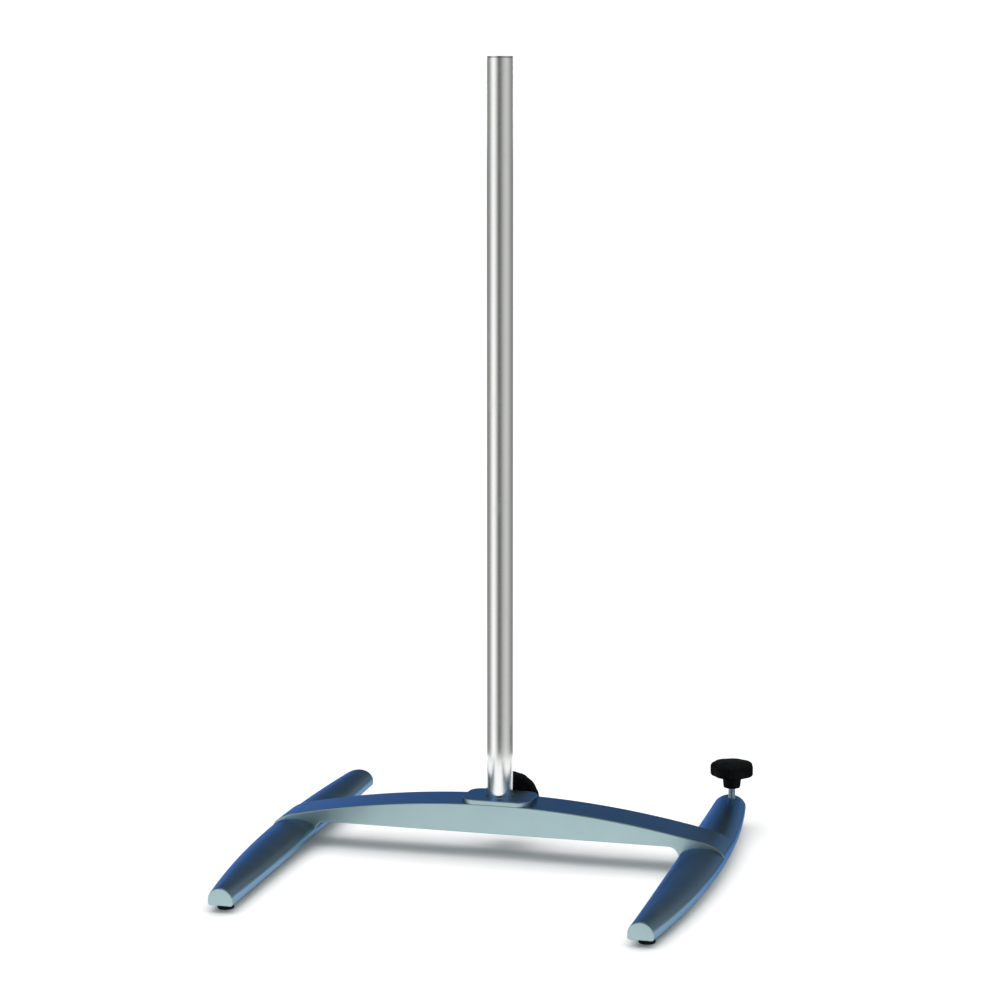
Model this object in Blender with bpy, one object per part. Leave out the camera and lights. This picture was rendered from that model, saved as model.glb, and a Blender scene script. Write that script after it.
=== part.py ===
"""Retort stand: a cast H-shaped base, a clamped column and one levelling screw.

Metres, +Z up, floor at Z = 0. The base is modelled about the column's axis and placed with its
middle over the origin. -Y is the front of the stand, where the legs are longest.
"""
import math

import bmesh
import bpy

MM = 0.001
GAP = 0.3 * MM              # clearance between two pieces that touch

# Base as a whole
LEG_FRONT_Y = -346.5 * MM   # flat front end of the legs, from the column's axis
LEG_REAR_Y = 240.0 * MM     # rounded rear end of the legs

# Legs: inner side straight, outer side bowed, the whole rail rising slightly to the rear
LEG_INNER_X = 248.8 * MM
LEG_STATIONS = (-346.5 * MM, 0.0, 220.6 * MM)
LEG_OUTER_X = (281.0 * MM, 309.4 * MM, 292.8 * MM)
LEG_TOP_Z = (32.5 * MM, 37.5 * MM, 42.6 * MM)
LEG_BOTTOM_Z = (10.0 * MM, 16.3 * MM, 21.3 * MM)
LEG_SIDE_SHARE = 0.32       # height of the upright side as a share of the section's height
LEG_CORNER = 3.0 * MM
LEG_NOSE = 19.0 * MM        # length of the rounded rear end
LEG_WALL = 5.0 * MM
DOME_STEPS = 14             # facets over the leg's domed top
LEG_POCKETS = ((-294.0 * MM, -52.0 * MM), (52.0 * MM, 184.0 * MM))
SEAT_Z = 24.0 * MM          # notch in each leg that the crossbeam sits in

# Crossbeam
BEAM_DEPTH = 65.0 * MM
BEAM_BOTTOM_Z = 36.0 * MM
ARCH_TOP_Z = 75.0 * MM
ARCH_DROP = 0.39            # metres of drop per square metre of distance from the middle
SHOULDER_X = 278.0 * MM     # where the arch turns down over the outside of the leg
SHOULDER_POWER = 1.54       # above 1 the shoulder falls away sooner than an ellipse
BEAM_END_X = 309.3 * MM
HAUNCH_X = 234.5 * MM       # centre and radius of the round haunch inside each leg
HAUNCH_Z = 22.0 * MM
HAUNCH_RADIUS = 14.0 * MM
BEAM_EDGE = 1.0 * MM
BEAM_WALL = 8.0 * MM
BEAM_POCKET_X = (56.0 * MM, 212.0 * MM)

# Boss around the column
BOSS_WIDTH = 94.0 * MM
BOSS_DEPTH = 64.0 * MM
BOSS_CORNER = 18.0 * MM
BOSS_TOP_Z = 80.5 * MM
SOCKET_FLOOR_Z = 42.0 * MM
SOCKET_CHAMFER = 1.8 * MM

# Column
COLUMN_RADIUS = 17.0 * MM
COLUMN_WALL = 2.5 * MM
COLUMN_TOP_Z = 1050.5 * MM
COLUMN_SEGMENTS = 72
CAP_LIP = 2.0 * MM
CAP_PLUG = 15.0 * MM

# Clamp screw behind the column, along Y
CLAMP_Z = 60.0 * MM
CLAMP_BUSH_RADIUS = 7.0 * MM
CLAMP_BUSH_FRONT = 18.6 * MM
CLAMP_PAD_RADIUS = 4.9 * MM
CLAMP_PAD_LENGTH = 3.1 * MM
CLAMP_KNOB_Y = 36.0 * MM
CLAMP_KNOB_RADIUS = 37.5 * MM
CLAMP_KNOB_LENGTH = 36.0 * MM
CLAMP_HUB_RADIUS = 14.0 * MM
CLAMP_HUB_LENGTH = 16.0 * MM
KNOB_BORE_DEPTH = 18.0 * MM
THREAD_RADIUS = 5.0 * MM    # M10, on both screws

# Levelling screw in the right leg's rear end
LEVEL_X = 274.5 * MM
LEVEL_Y = 212.3 * MM
LEVEL_PAD_RADIUS = 11.0 * MM
LEVEL_PAD_HEIGHT = 10.0 * MM
LEVEL_PAD_FLOOR = 4.0 * MM
LEVEL_BUSH_RADIUS = 8.0 * MM
LEVEL_BUSH_Z = (21.8 * MM, 35.7 * MM)
LEVEL_KNOB_Z = 57.0 * MM
LEVEL_KNOB_HEIGHT = 36.0 * MM
LEVEL_KNOB_RADIUS = 29.7 * MM
LEVEL_KNOB_LOBES = 7

# The stand's rearmost point is the levelling knob's rim; the column stands behind the middle.
COLUMN_Y = -(LEG_FRONT_Y + LEVEL_Y + LEVEL_KNOB_RADIUS) / 2

# Fixed feet
FOOT_FRONT = (267.5 * MM, -320.0 * MM)
FOOT_RADIUS = 10.5 * MM
FOOT_HEIGHT = 9.7 * MM
FOOT_BOSS_RADIUS = 11.5 * MM
FOOT_SCREW_RADIUS = 2.5 * MM
FOOT_SCREW_HEAD = 4.8 * MM
FOOT_SCREW_TOP_Z = 19.0 * MM
FOOT_HEAD_Z = (1.2 * MM, 3.7 * MM)

# Leg bolts, from below into the crossbeam
BOLT_X = 279.0 * MM
BOLT_Y = 18.0 * MM
BOLT_RADIUS = 4.0 * MM
BOLT_HEAD_RADIUS = 6.5 * MM
BOLT_HEAD_HEIGHT = 8.0 * MM
BOLT_TIP_Z = 36.5 * MM
BOLT_SOCKET = 6.0 * MM      # across the flats
WASHER_RADIUS = 8.0 * MM
WASHER_HEIGHT = 1.5 * MM
SPOT_FACE_Z = 16.8 * MM

PAINT = ((0.20, 0.29, 0.40), 0.34, 0.55)
POLISHED = ((0.74, 0.75, 0.74), 0.22, 1.0)
ZINC = ((0.56, 0.60, 0.64), 0.32, 1.0)
BRASS = ((0.72, 0.56, 0.28), 0.35, 1.0)
BLACK_PLASTIC = ((0.012, 0.012, 0.014), 0.42, 0.0)
BLACK_RUBBER = ((0.020, 0.018, 0.020), 0.75, 0.0)


def parabola(y, stations, values):
    """Height of the parabola through three points, at y."""
    (p, q, r), (a, b, c) = stations, values
    return (a * (y - q) * (y - r) / ((p - q) * (p - r))
            + b * (y - p) * (y - r) / ((q - p) * (q - r))
            + c * (y - p) * (y - q) / ((r - p) * (r - q)))


def arch_z(x):
    """Top of the crossbeam at x."""
    return ARCH_TOP_Z - ARCH_DROP * x * x


def arc(cx, cy, radius, start, end, steps):
    """Points on an arc, angles in degrees, both ends included."""
    angles = [math.radians(start + (end - start) * i / steps) for i in range(steps + 1)]
    return [(cx + radius * math.cos(a), cy + radius * math.sin(a)) for a in angles]


def material(name, look):
    """Principled material from a colour, a roughness and a metallic value."""
    colour, roughness, metallic = look
    made = bpy.data.materials.new(name)
    made.use_nodes = True
    shader = made.node_tree.nodes["Principled BSDF"]
    shader.inputs["Base Color"].default_value = (*colour, 1.0)
    shader.inputs["Roughness"].default_value = roughness
    shader.inputs["Metallic"].default_value = metallic
    return made


def loft(rings, closed=False):
    """Solid through rings of equal length: capped at both ends, or closed round on itself."""
    bm = bmesh.new()
    rows = [[bm.verts.new(point) for point in ring] for ring in rings]
    count = len(rows[0])
    pairs = list(zip(rows, rows[1:]))
    if closed:
        pairs.append((rows[-1], rows[0]))
    for low, high in pairs:
        for i in range(count):
            j = (i + 1) % count
            bm.faces.new((low[i], low[j], high[j], high[i]))
    if not closed:
        bm.faces.new(list(reversed(rows[0])))
        bm.faces.new(rows[-1])
    bmesh.ops.recalc_face_normals(bm, faces=bm.faces[:])
    return bm


def ring(radius, z, segments, centre=(0.0, 0.0), lobes=0, depth=0.0):
    """Ring about Z; with lobes, its radius dips by depth between them, and one lobe points to +Y."""
    points = []
    for i in range(segments):
        angle = 2 * math.pi * i / segments
        dip = depth * (0.5 - 0.5 * math.cos(lobes * (angle - math.pi / 2))) ** 2
        points.append((centre[0] + (radius - dip) * math.cos(angle),
                       centre[1] + (radius - dip) * math.sin(angle), z))
    return points


def turned(profile, segments=40, closed=False):
    """Solid of revolution about Z through (radius, z) points."""
    return loft([ring(radius, z, segments) for radius, z in profile], closed)


def rod(radius, low, high, segments=32, centre=(0.0, 0.0)):
    """Plain cylinder about Z."""
    return loft([ring(radius, z, segments, centre) for z in (low, high)])


def prism(outline, low, high):
    """Outline in X and Z carried along Y from low to high."""
    return loft([[(x, y, z) for x, z in outline] for y in (low, high)])


def add_object(name, bm, place=(0.0, 0.0, 0.0), turn=(0.0, 0.0, 0.0), look=None, parent=None):
    """Object from a bmesh, smooth on its round parts, placed in its parent's frame."""
    mesh = bpy.data.meshes.new(name)
    bm.to_mesh(mesh)
    bm.free()
    mesh.shade_smooth()
    mesh.set_sharp_from_angle(angle=math.radians(32))
    made = bpy.data.objects.new(name, mesh)
    bpy.context.scene.collection.objects.link(made)
    made.location = place
    made.rotation_euler = turn
    made.parent = parent
    if look:
        mesh.materials.append(material(name, look))
    return made


def add_empty(name, place, parent=None):
    """Empty that carries the pieces of one moving body, on its joint's axis."""
    made = bpy.data.objects.new(name, None)
    bpy.context.scene.collection.objects.link(made)
    made.location = place
    made.parent = parent
    return made


def shape_with(target, bm, operation="DIFFERENCE", turn=(0.0, 0.0, 0.0), place=(0.0, 0.0, 0.0)):
    """Boolean on target with a hidden tool that rides on it."""
    index = len(target.modifiers)
    tool = add_object("{}.tool{}".format(target.name, index), bm, place, turn)
    tool.parent = target
    tool.hide_render = True
    tool.display_type = "WIRE"
    cut = target.modifiers.new("shape{}".format(index), "BOOLEAN")
    cut.operation = operation
    cut.solver = "EXACT"
    cut.object = tool


def leg_section(y, side, inset=0.0, drop=0.0):
    """Ring of the leg at y: flat underside, upright sides, domed top."""
    nose = max(0.0, (y - (LEG_REAR_Y - LEG_NOSE)) / LEG_NOSE)
    width = math.sqrt(max(0.0, 1.0 - nose * nose))
    outer = parabola(y, LEG_STATIONS, LEG_OUTER_X)
    low = parabola(y, LEG_STATIONS, LEG_BOTTOM_Z)
    high = parabola(y, LEG_STATIONS, LEG_TOP_Z)
    high = low + (high - low) * (1.0 - 0.4 * nose ** 3)
    middle = (LEG_INNER_X + outer) / 2
    half = (outer - LEG_INNER_X) / 2 * width - inset
    side_z = low + (high - low) * LEG_SIDE_SHARE
    crown = high - side_z - inset
    low -= drop
    corner = min(LEG_CORNER, half * 0.6) if drop == 0.0 else 0.1 * MM
    outline = arc(half - corner, low + corner, corner, -90, 0, 2)
    dome = [math.radians(180 * i / DOME_STEPS) for i in range(DOME_STEPS + 1)]
    outline += [(half * math.cos(a), side_z + crown * math.sin(a)) for a in dome]
    outline += arc(-half + corner, low + corner, corner, 180, 270, 2)
    return [(side * (middle + x), y, z) for x, z in outline]


def leg_rail(side):
    """Full leg before cutting, from the front end to the rounded rear."""
    edge = 0.8 * MM
    straight_end = LEG_REAR_Y - LEG_NOSE
    steps = 16
    first = LEG_FRONT_Y + edge
    stations = [first + (straight_end - first) * i / steps for i in range(steps + 1)]
    stations += [straight_end + LEG_NOSE * math.sin(math.radians(a)) for a in (20, 38, 54, 68, 77)]
    rings = [leg_section(y, side) for y in stations]
    face = leg_section(LEG_FRONT_Y + edge, side)
    middle_x = sum(p[0] for p in face) / len(face)
    middle_z = sum(p[2] for p in face) / len(face)
    shrink = 1.0 - edge / (11.0 * MM)
    rings.insert(0, [(middle_x + (x - middle_x) * shrink, LEG_FRONT_Y, middle_z + (z - middle_z) * shrink)
                     for x, y, z in face])
    # The rear cap closes the nose at the full length.
    last = rings[-1]
    middle_x = sum(p[0] for p in last) / len(last)
    middle_z = sum(p[2] for p in last) / len(last)
    rings.append([(middle_x + (x - middle_x) * 0.45, LEG_REAR_Y, middle_z + (z - middle_z) * 0.8)
                  for x, y, z in last])
    return loft(rings)


def fixed_foot_places(side):
    """Places of the rubber feet under one leg; the right leg's rear foot is the levelling one."""
    front = [(side * FOOT_FRONT[0], FOOT_FRONT[1])]
    return front + ([(side * LEVEL_X, LEVEL_Y)] if side < 0 else [])


def build_leg(name, side, base):
    """Cast leg: hollow underside, notch for the crossbeam, foot bosses and screw holes."""
    leg = add_object(name, leg_rail(side), look=PAINT, parent=base)
    for start, end in LEG_POCKETS:
        steps = 5
        rings = [leg_section(start + (end - start) * i / steps, side, LEG_WALL, 6 * MM)
                 for i in range(steps + 1)]
        shape_with(leg, loft(rings))
    half = BEAM_DEPTH / 2 + GAP
    notch = [(side * 240 * MM, SEAT_Z), (side * 320 * MM, SEAT_Z),
             (side * 320 * MM, 60 * MM), (side * 240 * MM, 60 * MM)]
    shape_with(leg, prism(notch, -half, half))
    for x, y in fixed_foot_places(side):
        shape_with(leg, rod(FOOT_BOSS_RADIUS, FOOT_HEIGHT + GAP, 24 * MM, 40, (x, y)), "UNION")
        shape_with(leg, rod(FOOT_SCREW_RADIUS + GAP, 0.0, FOOT_SCREW_TOP_Z + MM, 24, (x, y)))
    for y in (-BOLT_Y, BOLT_Y):
        centre = (side * BOLT_X, y)
        shape_with(leg, rod(BOLT_RADIUS + 0.5 * MM, 0.0, 40 * MM, 24, centre))
        shape_with(leg, rod(WASHER_RADIUS + 0.8 * MM, 0.0, SPOT_FACE_Z, 32, centre))
    if side > 0:
        centre = (LEVEL_X, LEVEL_Y)
        shape_with(leg, rod(THREAD_RADIUS + 0.5 * MM, 0.0, 60 * MM, 32, centre))
        shape_with(leg, rod(LEVEL_BUSH_RADIUS + GAP, 0.0, LEVEL_BUSH_Z[1] + GAP, 40, centre))
    return leg


def beam_outline():
    """Front view of the crossbeam, from the middle of the underside round to the right and back."""
    right = arc(HAUNCH_X, HAUNCH_Z, HAUNCH_RADIUS, 90, 10, 7)
    end_z = SEAT_Z + GAP
    right = [(x, z) for x, z in right if z > end_z + 0.5 * MM]
    right.append((HAUNCH_X + HAUNCH_RADIUS, end_z))
    right.append((BEAM_END_X, end_z))
    shoulder_z = arch_z(SHOULDER_X)
    for i in range(1, 7):
        angle = math.radians(90 * i / 7)
        right.append((SHOULDER_X + (BEAM_END_X - SHOULDER_X) * math.cos(angle) ** SHOULDER_POWER,
                      end_z + (shoulder_z - end_z) * math.sin(angle)))
    steps = 14
    right += [(SHOULDER_X * (1 - i / steps), arch_z(SHOULDER_X * (1 - i / steps))) for i in range(steps)]
    left = [(-x, z) for x, z in reversed(right)]
    return right + [(0.0, ARCH_TOP_Z)] + left


def rounded_rectangle(width, depth, radius, z, steps=6):
    """Ring of a rounded rectangle about Z."""
    points = []
    for sx, sy, start in ((1, 1, 0), (-1, 1, 90), (-1, -1, 180), (1, -1, 270)):
        corner = arc(sx * (width / 2 - radius), sy * (depth / 2 - radius), radius, start, start + 90, steps)
        points += [(x, y, z) for x, y in corner]
    return points


def build_crossbeam(base):
    """Cast crossbeam: arched, hollow below, with the column's boss, socket and clamp bore."""
    body = prism(beam_outline(), -BEAM_DEPTH / 2, BEAM_DEPTH / 2)
    beam = add_object("crossbeam", body, look=PAINT, parent=base)
    edges = beam.modifiers.new("edges", "BEVEL")
    edges.width = BEAM_EDGE
    edges.segments = 2
    edges.limit_method = "ANGLE"
    edges.angle_limit = math.radians(40)
    edge = 0.8 * MM
    boss = [rounded_rectangle(BOSS_WIDTH, BOSS_DEPTH, BOSS_CORNER, 60 * MM),
            rounded_rectangle(BOSS_WIDTH, BOSS_DEPTH, BOSS_CORNER, BOSS_TOP_Z - edge),
            rounded_rectangle(BOSS_WIDTH - 2 * edge, BOSS_DEPTH - 2 * edge, BOSS_CORNER - edge, BOSS_TOP_Z)]
    shape_with(beam, loft(boss), "UNION")
    near, far = BEAM_POCKET_X
    steps = 8
    for side in (-1, 1):
        tops = [side * (near + (far - near) * i / steps) for i in range(steps + 1)]
        outline = [(x, arch_z(x) - BEAM_WALL) for x in tops]
        outline += [(side * far, 20 * MM), (side * near, 20 * MM)]
        shape_with(beam, prism(outline, -BEAM_DEPTH / 2 + BEAM_WALL, BEAM_DEPTH / 2 - BEAM_WALL))
        for y in (-BOLT_Y, BOLT_Y):
            shape_with(beam, rod(BOLT_RADIUS + GAP, 10 * MM, BOLT_TIP_Z + MM, 24, (side * BOLT_X, y)))
    socket = COLUMN_RADIUS + GAP
    shape_with(beam, turned([(socket, SOCKET_FLOOR_Z), (socket, BOSS_TOP_Z - SOCKET_CHAMFER),
                             (socket + SOCKET_CHAMFER + MM, BOSS_TOP_Z + MM)], COLUMN_SEGMENTS))
    shape_with(beam, rod(CLAMP_BUSH_RADIUS + GAP, 10 * MM, BEAM_DEPTH, 40),
               turn=(-math.pi / 2, 0.0, 0.0), place=(0.0, 0.0, CLAMP_Z))


def build_column(body):
    """Steel tube with a turned cap on top and a plug in its foot."""
    bore = COLUMN_RADIUS - COLUMN_WALL
    plug = bore - GAP
    low = SOCKET_FLOOR_Z + GAP
    high = COLUMN_TOP_Z - CAP_LIP - GAP
    edge = 0.4 * MM
    tube = [(bore, low), (COLUMN_RADIUS - edge, low), (COLUMN_RADIUS, low + edge),
            (COLUMN_RADIUS, high), (bore, high)]
    add_object("column_tube", turned(tube, COLUMN_SEGMENTS, closed=True), look=POLISHED, parent=body)
    under = COLUMN_TOP_Z - CAP_LIP
    cap = [(plug, under - CAP_PLUG), (plug, under), (COLUMN_RADIUS, under),
           (COLUMN_RADIUS, COLUMN_TOP_Z - edge), (COLUMN_RADIUS - edge, COLUMN_TOP_Z)]
    add_object("column_cap", turned(cap, COLUMN_SEGMENTS), look=ZINC, parent=body)
    add_object("column_plug", turned([(plug, low), (plug, low + CAP_PLUG)], 40), look=ZINC, parent=body)


def knob_rings(radius, hub_low, hub_high, hub_length, length, segments, lobes, depth):
    """Rings of a knob with a blind bore: up the bore, out over the hub, round the grip."""
    bore = THREAD_RADIUS + GAP
    grip = length - hub_length
    rings = [ring(bore, KNOB_BORE_DEPTH, segments), ring(bore, 0.0, segments),
             ring(hub_low - MM, 0.0, segments), ring(hub_low, MM, segments),
             ring(hub_high, hub_length, segments)]
    # Grip profile: share of the radius, share of the grip's height, share of the flutes' depth
    profile = ((0.88, 0.0, 0.85), (0.97, 0.10, 1.0), (1.0, 0.28, 1.0), (1.0, 0.62, 1.0),
               (0.965, 0.82, 1.0), (0.87, 0.93, 0.75), (0.55, 1.0, 0.0))
    for share_r, share_z, share_d in profile:
        rings.append(ring(radius * share_r, hub_length + grip * share_z, segments,
                          lobes=lobes, depth=depth * share_d))
    return rings


def build_clamp(pad_body, knob_body, base):
    """Clamp screw behind the column: bush in the casting, pad, stud and hand knob, all along +Y."""
    along_y = (-math.pi / 2, 0.0, 0.0)
    bore = THREAD_RADIUS + GAP
    bush = [(bore, CLAMP_BUSH_FRONT), (CLAMP_BUSH_RADIUS, CLAMP_BUSH_FRONT),
            (CLAMP_BUSH_RADIUS, BEAM_DEPTH / 2 - GAP), (bore, BEAM_DEPTH / 2 - GAP)]
    add_object("clamp_bush", turned(bush, 32, closed=True), (0.0, 0.0, CLAMP_Z), along_y, ZINC, base)
    pad_low = COLUMN_RADIUS + GAP
    pad_high = pad_low + CLAMP_PAD_LENGTH
    pad = [(CLAMP_PAD_RADIUS - 0.5 * MM, pad_low), (CLAMP_PAD_RADIUS, pad_low + 0.5 * MM),
           (CLAMP_PAD_RADIUS, pad_high)]
    add_object("clamp_pad", turned(pad, 32), (0.0, 0.0, 0.0), along_y, BRASS, pad_body)
    stud = [(THREAD_RADIUS - MM, pad_high + GAP), (THREAD_RADIUS, pad_high + GAP + MM),
            (THREAD_RADIUS, CLAMP_KNOB_Y + KNOB_BORE_DEPTH - GAP)]
    add_object("clamp_stud", turned(stud, 32), (0.0, 0.0, 0.0), along_y, ZINC, knob_body)
    rings = knob_rings(CLAMP_KNOB_RADIUS, CLAMP_HUB_RADIUS, CLAMP_HUB_RADIUS, CLAMP_HUB_LENGTH,
                       CLAMP_KNOB_LENGTH, 56, 14, 0.7 * MM)
    add_object("clamp_knob", loft(rings), (0.0, CLAMP_KNOB_Y, 0.0), along_y, BLACK_PLASTIC, knob_body)


def build_leveling(pad_body, knob_body, base):
    """Levelling screw through the right leg: bush, swivel foot, screw and lobed knob."""
    bore = THREAD_RADIUS + GAP
    low, high = LEVEL_BUSH_Z
    bush = [(bore, low), (LEVEL_BUSH_RADIUS, low), (LEVEL_BUSH_RADIUS, high), (bore, high)]
    place = (LEVEL_X, LEVEL_Y, 0.0)
    add_object("leveling_bush", turned(bush, 32, closed=True), place, look=ZINC, parent=base)
    foot = [(bore, LEVEL_PAD_FLOOR), (bore, LEVEL_PAD_HEIGHT), (bore + 2.2 * MM, LEVEL_PAD_HEIGHT),
            (LEVEL_PAD_RADIUS, 6 * MM), (LEVEL_PAD_RADIUS, MM), (LEVEL_PAD_RADIUS - MM, 0.0)]
    add_object("leveling_foot", turned(foot, 36), look=BLACK_PLASTIC, parent=pad_body)
    screw = [(THREAD_RADIUS - MM, LEVEL_PAD_FLOOR + GAP), (THREAD_RADIUS, LEVEL_PAD_FLOOR + GAP + MM),
             (THREAD_RADIUS, LEVEL_KNOB_Z + KNOB_BORE_DEPTH - GAP)]
    add_object("leveling_screw", turned(screw, 32), look=ZINC, parent=knob_body)
    rings = knob_rings(LEVEL_KNOB_RADIUS, 11.4 * MM, 13.0 * MM, 16.0 * MM, LEVEL_KNOB_HEIGHT,
                       8 * LEVEL_KNOB_LOBES, LEVEL_KNOB_LOBES, 2.4 * MM)
    add_object("leveling_knob", loft(rings), (0.0, 0.0, LEVEL_KNOB_Z), look=BLACK_PLASTIC, parent=knob_body)


def build_feet(base):
    """Rubber feet with their screws, recessed above the floor."""
    hole = FOOT_SCREW_RADIUS + GAP
    recess = FOOT_SCREW_HEAD + 0.4 * MM
    head_low, head_high = FOOT_HEAD_Z
    foot = [(hole, head_high + GAP), (recess, head_high + GAP), (recess, 0.0), (FOOT_RADIUS - MM, 0.0),
            (FOOT_RADIUS, MM), (FOOT_RADIUS - 0.5 * MM, FOOT_HEIGHT), (hole, FOOT_HEIGHT)]
    screw = [(FOOT_SCREW_HEAD - 0.6 * MM, head_low), (FOOT_SCREW_HEAD, head_low + 0.6 * MM),
             (FOOT_SCREW_HEAD, head_high), (FOOT_SCREW_RADIUS, head_high),
             (FOOT_SCREW_RADIUS, FOOT_SCREW_TOP_Z)]
    names = {(1, 0): "front_right", (-1, 0): "front_left", (-1, 1): "rear_left"}
    for side in (-1, 1):
        for index, (x, y) in enumerate(fixed_foot_places(side)):
            where = names[(side, index)]
            place = (x, y, 0.0)
            rubber = turned(foot, 32, closed=True)
            add_object("foot_" + where, rubber, place, look=BLACK_RUBBER, parent=base)
            add_object("foot_screw_" + where, turned(screw, 24), place, look=ZINC, parent=base)


def build_leg_bolts(base):
    """Socket-head bolts and washers that hold the legs to the crossbeam."""
    washer_top = SPOT_FACE_Z - GAP
    head_top = washer_top - WASHER_HEIGHT - GAP
    head_low = head_top - BOLT_HEAD_HEIGHT
    hole = BOLT_RADIUS + GAP
    washer = [(hole, washer_top - WASHER_HEIGHT), (WASHER_RADIUS, washer_top - WASHER_HEIGHT),
              (WASHER_RADIUS, washer_top), (hole, washer_top)]
    bolt = [(BOLT_HEAD_RADIUS - 0.6 * MM, head_low), (BOLT_HEAD_RADIUS, head_low + 0.6 * MM),
            (BOLT_HEAD_RADIUS, head_top), (BOLT_RADIUS, head_top), (BOLT_RADIUS, BOLT_TIP_Z)]
    hexagon = BOLT_SOCKET / math.sqrt(3)
    for side, hand in ((-1, "left"), (1, "right")):
        for y, end in ((-BOLT_Y, "front"), (BOLT_Y, "rear")):
            place = (side * BOLT_X, y, 0.0)
            where = "{}_{}".format(hand, end)
            screw = add_object("leg_bolt_" + where, turned(bolt, 24), place, look=ZINC, parent=base)
            shape_with(screw, rod(hexagon, head_low - MM, head_low + 4 * MM, 6))
            ring_mesh = turned(washer, 24, closed=True)
            add_object("leg_washer_" + where, ring_mesh, place, look=ZINC, parent=base)


def main():
    """Clear the scene and build the stand."""
    for old in list(bpy.data.objects):
        bpy.data.objects.remove(old, do_unlink=True)
    base = add_empty("base_frame", (0.0, COLUMN_Y, 0.0))
    column_body = add_empty("column_body", (0.0, 0.0, 0.0), base)
    clamp_pad_body = add_empty("clamp_pad_body", (0.0, 0.0, CLAMP_Z), base)
    clamp_knob_body = add_empty("clamp_knob_body", (0.0, 0.0, 0.0), clamp_pad_body)
    level_pad_body = add_empty("level_pad_body", (LEVEL_X, LEVEL_Y, 0.0), base)
    level_knob_body = add_empty("level_knob_body", (0.0, 0.0, 0.0), level_pad_body)
    build_crossbeam(base)
    build_leg("leg_left", -1, base)
    build_leg("leg_right", 1, base)
    build_column(column_body)
    build_clamp(clamp_pad_body, clamp_knob_body, base)
    build_leveling(level_pad_body, level_knob_body, base)
    build_feet(base)
    build_leg_bolts(base)


main()
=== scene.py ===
"""Retort stand: fine surfaces, materials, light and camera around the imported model.

Metres, +Z up, floor at Z = 0. The castings are described with Y measured from the column's axis,
and moved back by the column's own Y, which is read from the frame.
"""
import math

import bmesh
import bpy
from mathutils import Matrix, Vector


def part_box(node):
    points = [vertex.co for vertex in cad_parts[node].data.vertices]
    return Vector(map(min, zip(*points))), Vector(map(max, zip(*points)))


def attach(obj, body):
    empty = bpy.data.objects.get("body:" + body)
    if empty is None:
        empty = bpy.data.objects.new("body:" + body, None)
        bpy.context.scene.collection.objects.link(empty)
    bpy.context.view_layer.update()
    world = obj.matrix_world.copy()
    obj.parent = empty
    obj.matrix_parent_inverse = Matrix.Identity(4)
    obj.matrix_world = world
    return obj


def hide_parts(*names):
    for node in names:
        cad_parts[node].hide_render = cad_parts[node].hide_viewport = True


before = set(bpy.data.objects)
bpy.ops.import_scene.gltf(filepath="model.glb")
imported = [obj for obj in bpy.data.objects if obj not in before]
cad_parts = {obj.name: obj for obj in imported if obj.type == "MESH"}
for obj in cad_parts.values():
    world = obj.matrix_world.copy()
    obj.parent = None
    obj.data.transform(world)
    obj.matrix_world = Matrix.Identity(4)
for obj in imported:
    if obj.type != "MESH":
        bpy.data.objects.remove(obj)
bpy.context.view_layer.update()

MM = 0.001
GAP = 0.3 * MM                    # clearance between fitted pieces


# ---------------------------------------------------------------- places read from the frame

def middle(node):
    """Middle of a CAD node's box."""
    low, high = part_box(node)
    return (low + high) / 2


COLUMN = middle("column_tube")
COLUMN_RADIUS = (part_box("column_tube")[1].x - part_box("column_tube")[0].x) / 2
COLUMN_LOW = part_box("column_tube")[0].z
COLUMN_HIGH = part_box("column_tube")[1].z
BEAM_LOW, BEAM_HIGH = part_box("crossbeam")
LEG_LOW, LEG_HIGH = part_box("leg_right")
CLAMP = middle("clamp_stud")
LEVEL = middle("leveling_screw")

LEG_FRONT = LEG_LOW.y - COLUMN.y
LEG_REAR = LEG_HIGH.y - COLUMN.y
LEG_INNER = LEG_LOW.x
BEAM_HALF_DEPTH = (BEAM_HIGH.y - BEAM_LOW.y) / 2
BEAM_END = BEAM_HIGH.x
BOSS_TOP = BEAM_HIGH.z

# Legs: sections at three stations along Y
STATIONS = (-346.5 * MM, 0.0, 220.6 * MM)
OUTER_X = (281.0 * MM, 309.4 * MM, 292.8 * MM)
TOP_Z = (32.5 * MM, 37.5 * MM, 42.6 * MM)
BOTTOM_Z = (10.0 * MM, 16.3 * MM, 21.3 * MM)
SIDE_SHARE = 0.32                 # share of the height that is upright side, below the dome
LEG_CORNER = 3.0 * MM
LEG_EDGE = 1.4 * MM               # rounded edge of the front face
LEG_NOSE = 19.0 * MM              # length of the rounded rear end
NOSE_DROP = 0.4                   # share of the height that the nose loses
NOSE_SHRINK = 1.6 * MM
LEG_WALL = 5.0 * MM
LEG_POCKETS = ((-294.0 * MM, -52.0 * MM), (52.0 * MM, 184.0 * MM))
POCKET_END = 5.0 * MM             # length of a pocket's rounded ends
POCKET_SHRINK = 1.5 * MM          # how far the ends draw in
POCKET_DROP = 6 * MM              # how far the tool reaches below the leg
FOOT_BOSS_RADIUS = 11.5 * MM
FOOT_BOSS_TOP = 24 * MM
SPOT_FACE_RADIUS = 8.8 * MM
LEVEL_HOLE_RADIUS = 5.5 * MM
LEVEL_FLARE = (8.0 * MM, 40.4 * MM, 42.9 * MM)       # radius, and heights where it starts and ends
LEVEL_BUSH_HOLE = (8.3 * MM, 36.0 * MM)              # radius and height

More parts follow.
